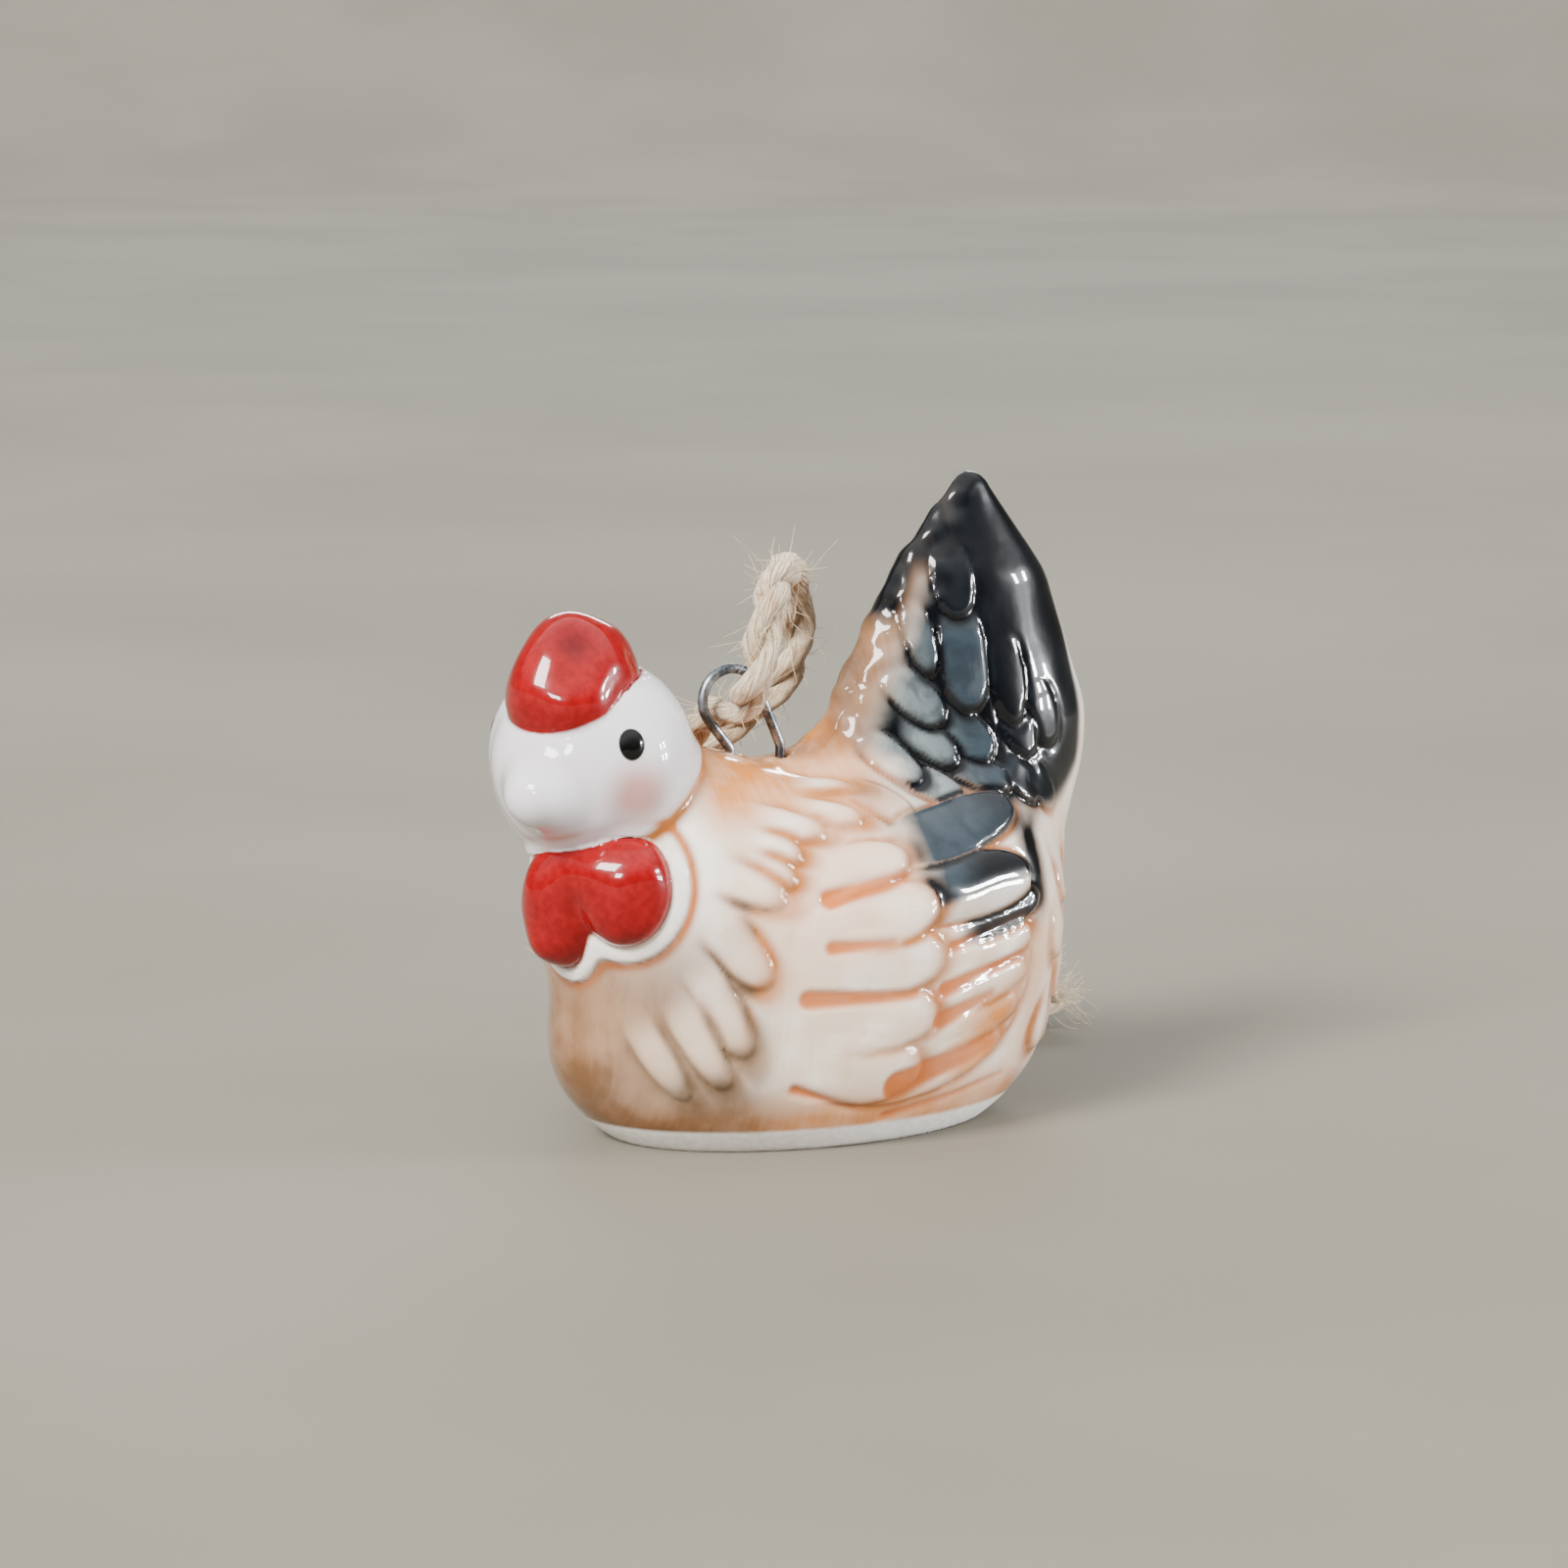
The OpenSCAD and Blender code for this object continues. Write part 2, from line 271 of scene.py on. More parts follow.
def plied(line, name, material, seed, thick=1.0):
    """A twine of two plies laid round a line, as one mesh that rests on the floor."""
    step = np.linalg.norm(line[1] - line[0])
    run = np.arange(len(line)) * step
    along, side, over = line_frames(line)
    points, faces, laid, around = [], [], [], []
    for ply in range(PLIES):
        lay = run / PLY_PITCH + ply / PLIES + PLY_START
        turn = 2 * math.pi * lay + 0.5 * wave(run, seed + ply, 31)
        reach = thick * PLY_OFFSET * (1 + 0.3 * wave(run, seed + 10 + ply, 23))
        mid = line + reach[:, None] * (np.cos(turn)[:, None] * side + np.sin(turn)[:, None] * over)
        girth = thick * PLY_R * (1 + 0.18 * wave(run, seed + 20 + ply, 13))
        _, p_side, p_over = line_frames(mid)
        start = len(points)
        for k in range(PLY_SIDES):
            a = 2 * math.pi * k / PLY_SIDES
            ridge = 1 + 0.1 * np.sin(5 * a + run * 1.7 + ply) + 0.06 * np.sin(3 * a - run * 2.9)
            ring = mid + (girth * ridge)[:, None] * (math.cos(a) * p_side + math.sin(a) * p_over)
            points.extend(ring)
            laid.extend(run)
            around.extend([a + ply * 7] * len(run))
        faces.extend(tube_faces(start, PLY_SIDES, len(run)))
    points = np.array(points)
    points[:, 2] = np.maximum(points[:, 2], PLY_FLOOR)
    made = mesh_object(name, points * MM, faces, material)
    spun = made.data.attributes.new("spun", "FLOAT_VECTOR", "POINT")
    a = np.array(around) + np.array(laid) * 0.55
    values = np.stack([np.cos(a), np.sin(a), np.array(laid) * 0.12], 1)
    spun.data.foreach_set("vector", values.ravel())
    return made


def jute_material(name, pale, dark):
    """Dry plant fibre whose streaks follow the spun attribute along each ply."""
    m = Shader(name)
    spun = m.attribute("spun").outputs["Vector"]
    streak = m.noise(m.stretch(spun, 3.2, 3.2, 1.0), 2.2, 5, 0.62)
    blot = m.noise(m.place(), 700, 3, 0.6)
    tone = m.mix(m.step(streak, 0.32, 0.62), srgb(*dark), srgb(*pale))
    tone = m.mix(m.step(blot, 0.45, 0.75, 0, 0.5), tone, srgb(150, 106, 66))
    rough = m.step(streak, 0.2, 0.8, 0.95, 0.7)
    fine = m.noise(m.stretch(spun, 7, 7, 1.2), 4, 4, 0.7)
    m.set(base_color=tone, roughness=rough, normal=m.bump(fine, 0.12 * MM, 0.9))
    m.bsdf.inputs["Sheen Weight"].default_value = 0.25
    m.bsdf.inputs["Specular IOR Level"].default_value = 0.25
    return m.material


def fibre_tubes(name, strands, radius, material):
    """Thin three-sided tubes along the given strands, in mm."""
    points, faces = [], []
    for line in strands:
        _, side, over = line_frames(line)
        n = len(line)
        thin = radius * np.linspace(1, 0.45, n)
        start = len(points)
        for k in range(3):
            a = 2 * math.pi * k / 3
            points.extend(line + thin[:, None] * (math.cos(a) * side + math.sin(a) * over))
        faces.extend(tube_faces(start, 3, n))
    return mesh_object(name, np.array(points) * MM, faces, material)


def strand(draw, start, heading, length, curl, count=8):
    """One wandering fibre from start, as points in mm."""
    line = [np.array(start, float)]
    d = np.array(heading, float)
    d /= np.linalg.norm(d)
    bend = draw.normal(0, 1, 3) * curl
    for _ in range(count - 1):
        d = d + bend / count + draw.normal(0, 0.05, 3)
        d /= np.linalg.norm(d)
        line.append(line[-1] + d * length / (count - 1))
    return np.array(line)


def brushes_wire(line):
    """Whether a fibre comes near the wire eye, anywhere that the eye tilts to."""
    x, y, z = line.T
    ring = np.abs(np.hypot(y - EYE_MID[0], z - EYE_MID[1]) - EYE_R) < EYE_CLEAR
    legs = (z < EYE_MID[1]) & (z > LEGS_FOOT) & (y > LEGS_Y[0]) & (y < LEGS_Y[1])
    return bool(((ring | legs) & (np.abs(x) < EYE_LEAN)).any())


twine_line = smooth_line(TWINE_ROUTE, TWINE_STEP)
jute = jute_material("jute", (234, 218, 188), (126, 84, 48))
fuzz = jute_material("jute_fuzz", (230, 210, 178), (180, 144, 98))
twine = plied(twine_line, "twine_plies", jute, 3)
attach(twine, "shell")
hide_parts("twine")

# the overhand knot that the two ends make
knot_turns = np.linspace(0, 2 * math.pi, 90, endpoint=False)
knot_line = np.stack([
    0.70 * (np.sin(knot_turns) + 2 * np.sin(2 * knot_turns)),
    0.58 * (np.cos(knot_turns) - 2 * np.cos(2 * knot_turns)),
    -1.25 * np.sin(3 * knot_turns),
], 1) + KNOT_MID
knot = plied(smooth_line(knot_line, TWINE_STEP), "twine_knot_wrap", jute, 40, thick=0.95)
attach(knot, "shell")
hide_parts("twine_knot")

draw = np.random.default_rng(11)
along, side, over = line_frames(twine_line)
strands = []
for _ in range(FIBRES):
    i = int(draw.integers(4, len(twine_line) - 4))
    a = draw.uniform(0, 2 * math.pi)
    out = math.cos(a) * side[i] + math.sin(a) * over[i]
    lean = out * draw.uniform(0.1, 0.9) + along[i] * draw.choice((-1, 1)) * draw.uniform(0.6, 1.6)
    length = 1.4 + draw.exponential(1.5)
    start = twine_line[i] + out * 0.85
    line = strand(draw, start, lean, min(length, FIBRE_LONGEST), FIBRE_CURL)
    line[:, 2] = np.maximum(line[:, 2], FIBRE_FLOOR)
    if not brushes_wire(line):
        strands.append(line)
for end, heading in ((0, -along[0]), (-1, along[-1])):
    for _ in range(END_FIBRES):
        spread = draw.normal(0, 0.42, 3)
        start = twine_line[end] + draw.normal(0, 0.4, 3) * (1, 0.2, 1)
        line = strand(draw, start - heading * 0.8, heading + spread, draw.uniform(2.6, 4.8), 0.9)
        line[:, 2] = np.maximum(line[:, 2], 0.1)
        strands.append(line)
fibres = fibre_tubes("twine_fibres", strands, FIBRE_R, fuzz)
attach(fibres, "shell")


# ---------------------------------------------------------------- hen: the rounded masses, in mm
def blend(a, b, k):
    """Two solids joined with a smooth fillet about k wide."""
    h = np.maximum(k - np.abs(a - b), 0) / k
    return np.minimum(a, b) - h * h * k / 4


def egg(p, mid, r, turn=0.0, tilt=0.0):
    """Distance to an ellipsoid, turned about Z and then tilted, in degrees."""
    q = p - np.array(mid, float)
    if turn or tilt:
        c, s = math.cos(math.radians(turn)), math.sin(math.radians(turn))
        ct, st = math.cos(math.radians(tilt)), math.sin(math.radians(tilt))
        x = q[:, 0] * c + q[:, 1] * s
        y = q[:, 1] * c - q[:, 0] * s
        z = q[:, 2]
        q = np.stack([x, y * ct + z * st, z * ct - y * st], 1)
    r = np.array(r, float)
    k0 = np.sqrt(((q / r) ** 2).sum(1))
    k1 = np.sqrt(((q / r**2) ** 2).sum(1))
    return k0 * (k0 - 1) / np.maximum(k1, 1e-6)


def round_cone(p, a, ra, b, rb):
    """Distance to a cone with a ball of radius ra at a and one of radius rb at b."""
    a, b = np.array(a, float), np.array(b, float)
    ba = b - a
    l2 = ba @ ba
    rr = ra - rb
    a2 = l2 - rr * rr
    pa = p - a
    y = pa @ ba
    z = y - l2
    x2 = ((pa * l2 - y[:, None] * ba) ** 2).sum(1)
    y2, z2 = y * y * l2, z * z * l2
    k = np.sign(rr) * rr * rr * x2
    d = (np.sqrt(x2 * a2 / l2) + y * rr) / l2 - ra
    d = np.where(np.sign(z) * a2 * z2 > k, np.sqrt(x2 + z2) / l2 - rb, d)
    return np.where(np.sign(y) * a2 * y2 < k, np.sqrt(x2 + y2) / l2 - ra, d)


HEAD = np.array((2.2, -18.1, 30.3))
HEAD_R = 7.6
HEAD_TURN = 32
FACE = np.array((math.sin(math.radians(HEAD_TURN)), -math.cos(math.radians(HEAD_TURN)), 0))
COMB = HEAD + 1.9 * FACE + (0, 0, 6.3)
BEAK = HEAD + 6.4 * FACE - (0, 0, 1.6)
BEAK_R = (3, 3.2, 2.7)
LEFT_WATTLE = (6.9, -17.4, 21.2)
RIGHT_WATTLE = (2.5, -20.3, 19.6)
WALL = 2.4
FOOT_H = 1.2
HOLE_R = 0.8
HOLE_YS = (-5.1, -0.7)


def trunk(p):
    d = blend(egg(p, (0, 0.9, 7.5), (13.2, 20.8, 11.5)), egg(p, (0, 0.6, 15.5), (14.4, 19.8, 13.2)), 4)
    d = blend(d, egg(p, (0.6, -11.7, 21.5), (9.6, 9.8, 9.5)), 5)
    return blend(d, egg(p, (0, 13.8, 16.5), (10.5, 9, 12)), 4)


def tail(p):
    """The upright tail, a pair of round cones flattened from side to side."""
    q = p / (0.42, 1, 1)
    top = round_cone(q, (0, 16, 48.4), 2.1, (0, 15.8, 38.5), 8)
    low = round_cone(q, (0, 15.8, 38.5), 8, (0, 15, 29.5), 11.6)
    return 0.6 * np.minimum(top, low)


def bird(p):
    """Body, head, tail and beak: everything but the red parts."""
    d = blend(trunk(p), egg(p, HEAD, (HEAD_R,) * 3), 2.2)
    d = blend(d, tail(p), 5)
    return blend(d, egg(p, BEAK, BEAK_R, HEAD_TURN), 1.5)


def comb(p):
    crown = egg(p, COMB, (4.6, 5.3, 5.2), HEAD_TURN, 18)
    brow = egg(p, HEAD + 4.3 * FACE + (0, 0, 4.6), (3.9, 2.9, 3.6), HEAD_TURN, 18)
    return blend(crown, brow, 2)


def wattles(p):
    pair = blend(egg(p, LEFT_WATTLE, (4.1, 3.7, 4.5)), egg(p, RIGHT_WATTLE, (3.3, 3.5, 5)), 1)
    return blend(pair, egg(p, (5.2, -19, 22.4), (3.4, 3.2, 2.6), HEAD_TURN), 1.6)


def hen(p):
    return np.minimum(np.minimum(bird(p), comb(p)), wattles(p))


def cavity(p):
    """The open inside, one wall's thickness in from the trunk."""
    q = p.copy()
    q[:, 2] = np.maximum(q[:, 2], FOOT_H)
    return trunk(q) + WALL


def shell(p):
    """The whole casting with its cut foot, its cavity and the two wire holes."""
    d = np.maximum(np.maximum(hen(p), -p[:, 2]), -cavity(p))
    for y in HOLE_YS:
        tube = np.maximum(np.hypot(p[:, 0], p[:, 1] - y) - HOLE_R, 20 - p[:, 2])
        d = np.maximum(d, -tube)
    return d


def in_blocks(field, p, size=400000):
    return np.concatenate([field(p[i:i + size]) for i in range(0, len(p), size)])


def slope(field, p, h=0.02):
    """The field's gradient at each point."""
    out = np.empty_like(p)
    for k in range(3):
        e = np.zeros(3)
        e[k] = h
        out[:, k] = (field(p + e) - field(p - e)) / (2 * h)
    return out


def ease(x, low, high):
    """A smooth step from 0 to 1 as x goes from low to high."""
    t = np.clip((x - low) / (high - low), 0, 1)
    return t * t * (3 - 2 * t)


# ---------------------------------------------------------------- hen: mesh
CELL = 0.54
low = np.array((-16.2, -28.4, -1.6))
high = np.array((16.2, 28.4, 52.2))
counts = np.ceil((high - low) / CELL).astype(int)
axes = [low[k] + CELL * np.arange(counts[k]) for k in range(3)]
cells = np.stack(np.meshgrid(*axes, indexing="ij"), -1).reshape(-1, 3)
values = in_blocks(shell, cells).reshape(counts)
grid = openvdb.FloatGrid(background=3.0)
grid.copyFromArray(values.astype(np.float32))
points, quads = grid.convertToQuads(0.0)
points = points.astype(float) * CELL + low
quads = quads.astype(int)
a, b, c, d = (points[quads[:, k]] for k in range(4))
volume = (np.cross(a, b) * c).sum() + (np.cross(a, c) * d).sum()
if volume < 0:
    quads = quads[:, ::-1]

# the outside is made twice as fine as the inside
mids = points[quads].mean(1)
outside = (trunk(mids) > -WALL / 2) & (mids[:, 2] > 0.35)
bm = bmesh.new()
verts = [bm.verts.new(p) for p in points]
for q, seen in zip(quads, outside):
    f = bm.faces.new([verts[k] for k in q])
    f.tag = bool(seen)
edges = [e for e in bm.edges if any(f.tag for f in e.link_faces)]
bmesh.ops.subdivide_edges(bm, edges=edges, cuts=1, use_grid_fill=True)
hen_data = bpy.data.meshes.new("hen_glazed")
bm.to_mesh(hen_data)
bm.free()

v = np.empty(len(hen_data.vertices) * 3)
hen_data.vertices.foreach_get("co", v)
v = v.reshape(-1, 3)
# every point slides onto the exact surface
for _ in range(3):
    g = slope(shell, v)
    g2 = np.maximum((g * g).sum(1), 0.25)
    move = -(shell(v) / g2)[:, None] * g
    size = np.linalg.norm(move, axis=1)[:, None]
    v += move * np.minimum(1, 0.3 / np.maximum(size, 1e-9))


# ---------------------------------------------------------------- hen: feathers
# root (y, z), tip (y, z), width, lift, paint group; from the rear and the bottom to the top of the pile
PLUMES = (
    ((-8, 10.5), (15.5, 15), 18.4, 0.4, "wing"),
    ((1.6, 27.8), (6, 25), 4.0, 0.6, "pale"),
    ((10.8, 29), (16.6, 26.2), 3.2, 0.5, "scale"),
    ((6.6, 28.4), (11.8, 25.6), 3.2, 0.5, "scale"),
    ((4.6, 31), (8.6, 27), 3.1, 0.5, "scale"),
    ((10.6, 32.6), (15.4, 28.6), 3.6, 0.55, "scale"),
    ((7.6, 32), (12, 28.2), 2.8, 0.5, "scale"),
    ((7, 36), (11.2, 31.4), 3.4, 0.55, "scale"),
    ((19.8, 34.5), (21.4, 28.8), 3.2, 0.28, "night"),
    ((16, 28.4), (19.6, 25), 3.2, 0.35, "night"),
    ((18.6, 27.6), (21.6, 24), 2.8, 0.3, "night"),
    ((16.8, 32.4), (19.4, 28.4), 3.2, 0.35, "night"),
    ((17, 38.5), (17.7, 30.8), 3.4, 0.3, "night"),
    ((13.2, 40.8), (13.7, 32), 4.3, 0.65, "scale"),
    ((9.4, 41.5), (10.6, 35), 2.6, 0.4, "streak"),
    ((13, 45.6), (13.3, 39.4), 3.6, 0.3, "night"),
    ((2.5, 5.2), (12.8, 7.8), 3.6, 0.5, "flight"),
    ((3.5, 8), (14.4, 10.6), 3.6, 0.55, "flight"),
    ((4.5, 11.2), (15, 13), 3.4, 0.55, "flight"),
    ((5, 14.4), (15.8, 15.8), 3.4, 0.55, "flight"),
    ((7, 16.4), (17, 18.6), 3.4, 0.5, "night"),
    ((1, 19.6), (16, 20.4), 5.6, 0.7, "covert"),
    ((1.5, 22.8), (16, 25), 5.2, 0.7, "slate"),
    ((-9, 7.4), (4.6, 6), 6.0, 0.55, "front"),
    ((-8, 11), (5.7, 10.6), 5.6, 0.6, "front"),
    ((-8, 14.8), (6.3, 15.2), 5.6, 0.65, "front"),
    ((-7, 18.2), (6, 19.2), 5.2, 0.65, "front"),
    ((-7, 21.4), (4.3, 22.8), 4.4, 0.65, "front"),
    ((-5, 28.6), (2.4, 27), 2.4, 0.4, "hackle"),
    ((-6, 27.4), (1.6, 25), 2.9, 0.45, "hackle"),
    ((-11, 27), (-1.8, 24.6), 3.3, 0.45, "hackle"),
    ((-11, 25), (-4.4, 23.2), 3.0, 0.4, "hackle"),
    ((-11.5, 23.4), (-5.4, 21.5), 2.9, 0.4, "hackle"),
    ((-14, 23.6), (-6.6, 20), 3.2, 0.4, "hackle"),
    ((-13.5, 20.6), (-8.4, 13.6), 3.8, 0.45, "chest"),
    ((-14.5, 17.6), (-9.6, 8), 3.4, 0.4, "chest"),
    ((-16, 15), (-11, 5.6), 3.2, 0.4, "chest"),
    ((-18.2, 13), (-13.6, 4.6), 3.0, 0.35, "chest"),
)
# rump feathers on the rear: root (x, z), tip (x, z), width, lift
REAR_PLUMES = (
    ((7.2, 11), (8.2, 5.4), 4.2, 0.3),
    ((3.6, 11.4), (4.0, 4.8), 4.2, 0.3),
    ((0, 11.6), (0, 4.6), 4.0, 0.3),
    ((5.6, 15.6), (6.4, 9), 4.2, 0.35),
    ((1.8, 16), (2, 8.8), 4.0, 0.35),
    ((7.8, 18), (8.8, 12.6), 3.8, 0.35),
    ((3.8, 19.6), (4.2, 12.8), 4.0, 0.35),
    ((0, 20), (0, 12.8), 3.8, 0.35),
    ((5.6, 22.4), (6.6, 16.6), 3.6, 0.35),
    ((1.9, 23.4), (2.1, 16.8), 3.6, 0.35),
)
DOMED = {"covert": 2.2, "slate": 1.9}
# where along a feather its relief fades in, how soft its outline is, and how domed it is, by paint group
ROOTS = {
    "rump": (-0.8, 0.1), "front": (-0.35, 0.45), "flight": (-0.5, 0.2), "hackle": (-0.5, 0.3),
    "chest": (-0.7, 0.1),
}
DEFAULT_ROOT = (-1.0, -0.35)
SOFT = {"rump": 0.55, "chest": 0.6, "hackle": 0.55, "front": 0.45, "flight": 0.4, "wing": 0.4}
# orange slots between the wing feathers: from and to (y, z), half width
DASHES = (
    ((-3.4, 20.1), (3.2, 21.3), 0.8),
    ((-3.6, 16.5), (1.4, 16.6), 0.6),
    ((-5.4, 12.6), (3.2, 12.4), 0.8),
    ((6.2, 12.4), (14, 14), 0.7),
    ((5.8, 10), (11, 11.4), 0.8),
    ((2.4, 5.2), (11.4, 7.6), 1.3),
    ((7, 15.6), (14.6, 17.2), 0.5),
    ((-6, 5.4), (-1, 3.7), 0.45),
    ((2, 2.5), (13.6, 4.3), 0.4),
)
EDGE = 0.45
GROOVE = 0.3
GROOVE_DEPTH = 0.12


def on_side(y, z, sign):
    """The point of the hen's skin at this y and z, on the left (1) or right (-1)."""
    near, far = 0.0, 20.0
    for _ in range(24):
        x = (near + far) / 2
        if bird(np.array([[sign * x, y, z]]))[0] < 0:
            near = x
        else:
            far = x
    return np.array((sign * near, y, z))


def on_rear(x, z):
    """The point of the hen's skin at this x and z, seen from behind."""
    near, far = 4.0, 27.0
    for _ in range(24):
        y = (near + far) / 2
        if bird(np.array([[x, y, z]]))[0] < 0:
            near = y
        else:
            far = y
    return np.array((x, near, z))


normals = slope(bird, v)
normals /= np.maximum(np.linalg.norm(normals, axis=1), 1e-9)[:, None]
skin = (np.abs(bird(v)) < 0.15) & (v[:, 2] > 0.6)
fade = skin * ease(v[:, 2], 1.6, 3.2)
head_d = np.linalg.norm(v - HEAD, axis=1)
fade = fade * ease(head_d, HEAD_R + 0.5, HEAD_R + 1.2)
relief = np.zeros(len(v))
groove = np.zeros(len(v))
GROUPS = (
    "wing", "pale", "scale", "night", "streak", "flight", "covert", "slate", "front", "hackle", "chest",
    "rump",
)
cover = {name: np.zeros(len(v)) for name in GROUPS}
plume_at = np.stack([v[:, 2] * 0.5, v[:, 1], np.zeros(len(v))], 1)
for sign in (1, -1):
    rear = [(*plume, "rump") for plume in REAR_PLUMES if sign == 1 or plume[0][0] > 0]
    for number, (root, tip, width, lift, group) in enumerate(rear + list(PLUMES)):
        halfway = ((root[0] + tip[0]) / 2, (root[1] + tip[1]) / 2)
        if group == "rump":
            a, b, mid = (on_rear(sign * x, z) for x, z in (root, tip, halfway))
        else:
            a, b, mid = (on_side(y, z, sign) for y, z in (root, tip, halfway))
        n = slope(bird, mid[None])[0]
        n /= np.linalg.norm(n)
        length = np.linalg.norm(mid - a) + np.linalg.norm(b - mid)
        t = b - a
        t -= n * (t @ n)
        t /= np.linalg.norm(t)
        w = np.cross(n, t)
        close = np.linalg.norm(v - mid, axis=1) < 0.75 * max(length, width)
        near = np.where(close & (v[:, 0] * sign > -4))[0]
        q = v[near] - mid
        flat = q @ t
        depth = q @ n
        # the skin falls away from the feather's middle, so its run is longer than its flat reach
        run = np.sign(flat) * np.sqrt(flat**2 + np.minimum(depth, 0) ** 2 * 0.8)
        x = run / (length / 2)
        y = (q @ w) / (width / 2)
        r = (np.abs(x) ** 2.3 + np.abs(y) ** 2.3) ** (1 / 2.3)
        inside = (1 - r) * width / 2
        rooted = ease(x, *ROOTS.get(group, DEFAULT_ROOT))
        on = ease(inside, -0.05, EDGE) * rooted * fade[near]
        u = np.clip((x + 1) / 2, 0, 1)
        crown = 1 - np.clip(y, -1, 1) ** 2
        height = lift * (0.25 + 0.75 * u) * (0.55 + 0.45 * crown * DOMED.get(group, 1))
        line = np.exp(-((inside / SOFT.get(group, GROOVE)) ** 2)) * rooted * fade[near]
        relief[near] = relief[near] * (1 - on) + height * on - GROOVE_DEPTH * line * (inside < 0.1)
        groove[near] = np.maximum(groove[near] * (1 - ease(inside, 0, 0.5)), line)
        for name in cover:
            cover[name][near] = cover[name][near] * (1 - on) + (name == group) * on
        own = np.stack([x * length / 2, y * width / 2, np.full(len(near), number * 3.7)], 1)
        take = (on > 0.5)[:, None]
        plume_at[near] = np.where(take, own, plume_at[near])

dash = np.zeros(len(v))
for sign in (1, -1):
    for start, stop, half in DASHES:
        a, b = np.array(start, float), np.array(stop, float)
        q = v[:, 1:] - a
        t = np.clip(q @ (b - a) / ((b - a) @ (b - a)), 0, 1)
        gap = np.linalg.norm(q - t[:, None] * (b - a), axis=1)
        taper = half * (1 - 0.45 * t)
        there = ease(taper - gap, -0.25, 0.35) * (v[:, 0] * sign > 4) * skin
        dash = np.maximum(dash, there * (1 - 0.35 * t))
relief -= 0.22 * dash


def lumps(p, size, seed):
    """A smooth bumpy number about -1 to 1 over space, with lumps of about the given size in mm."""
    pick = np.random.default_rng(seed)
    out = np.zeros(len(p))
    for _ in range(14):
        d = pick.normal(0, 1, 3)
        d /= np.linalg.norm(d)
        out += np.sin(p @ d * 2 * math.pi / (size * pick.uniform(0.7, 1.6)) + pick.uniform(0, 6.28))
    return out / 5


# ---------------------------------------------------------------- hen: eyes, comb, wattles and cheek
EYE_TURNS = (57, -80)
EYE_RISE = 17
DIMPLE_R = 1.5
side_dir = np.array((-FACE[1], FACE[0], 0))


def head_point(turn, rise):
    """A point on the head, turned from the face towards the hen's left, and up."""
    a, e = math.radians(turn), math.radians(rise)
    d = math.cos(e) * (math.cos(a) * FACE + math.sin(a) * side_dir) + np.array((0, 0, math.sin(e)))
    return HEAD + HEAD_R * d, d


eye_in = np.full(len(v), -9.0)
blush_and_dimple_shade = np.zeros(len(v))
for turn in EYE_TURNS:
    mid, n = head_point(turn, EYE_RISE)
    w = np.cross((0, 0, 1), n)
    w /= np.linalg.norm(w)
    t = np.cross(n, w)
    q = v - mid
    r = np.hypot(q @ w / 1.05, q @ t / 1.3)
    r = np.where(np.linalg.norm(q, axis=1) < 4, r, 9)
    eye_in = np.maximum(eye_in, 1 - r)
    relief += 0.28 * ease(1 - r, 0, 0.6)
    mid, n = head_point(turn + 3, -12)
    blush_and_dimple_shade = np.maximum(blush_and_dimple_shade, ease(-np.linalg.norm(v - mid, axis=1), -3.6, -0.6))

comb_at, wattle_at = comb(v), wattles(v)
red_in = bird(v) - np.minimum(comb_at, wattle_at)
below_beak = ease(-v[:, 2], -28, -25)
lobe_rim = ease(-np.abs(wattle_at - 0.6), -0.65, -0.3) * ease(-v[:, 2], -24.6, -22.5)
lobe_line = np.exp(-(((wattle_at - 1.5) / 0.36) ** 2)) * below_beak
lobe_line = lobe_line * ease(head_d, HEAD_R - 0.2, HEAD_R + 0.4)
relief += 0.32 * lobe_rim * (wattle_at > 0.02)
# the cheek stands a little proud of the neck, with colour pooled in the crease behind it
behind = ease(-((v - HEAD) @ FACE), -4.5, -2)
cheek_line = np.exp(-(((head_d - HEAD_R - 0.85) / 0.5) ** 2)) * skin * behind * ease(-v[:, 2], -33, -31)
relief += 0.5 * ease(-head_d, -HEAD_R - 0.8, -HEAD_R - 0.35) * skin * behind
# the comb's dimple, sunk into the comb and darkened to crimson as painted shade in its hollow
q = v - COMB
dimple_dir = np.array((0.62, -0.33, 0.71))
off_axis = np.linalg.norm(np.cross(q, dimple_dir), axis=1)
dimple = np.exp(-((off_axis / DIMPLE_R) ** 2)) * (q @ dimple_dir > 0) * (red_in > 0)
relief -= 0.7 * dimple
# the dimple's painted shade joins the cheek blush mask
blush_and_dimple_shade = np.maximum(blush_and_dimple_shade, dimple)
relief += 0.22 * lumps(v, 5, 8) * (red_in > 0)
relief += 0.07 * lumps(v, 7, 9) * skin * ease(v[:, 2], 1.5, 4)
# the tail's front edge is lumpy
tail_front = 6.5 + 0.46 * (v[:, 2] - 27)
scruffy = skin * ease(v[:, 2], 28, 31) * ease(tail_front - v[:, 1], 0, 2) * (v[:, 1] > 2)
relief += 0.14 * lumps(v, 2.6, 21) * scruffy
foot_bare = ease(-v[:, 2], -2.1, -1.7)
inner = (cavity(v) < 0.15) & (hen(v) < -1)

v_out = v + normals * relief[:, None] * (~inner)[:, None]
hen_data.vertices.foreach_set("co", (v_out * MM).ravel())
hen_data.polygons.foreach_set("use_smooth", [True] * len(hen_data.polygons))
hen_data.update()

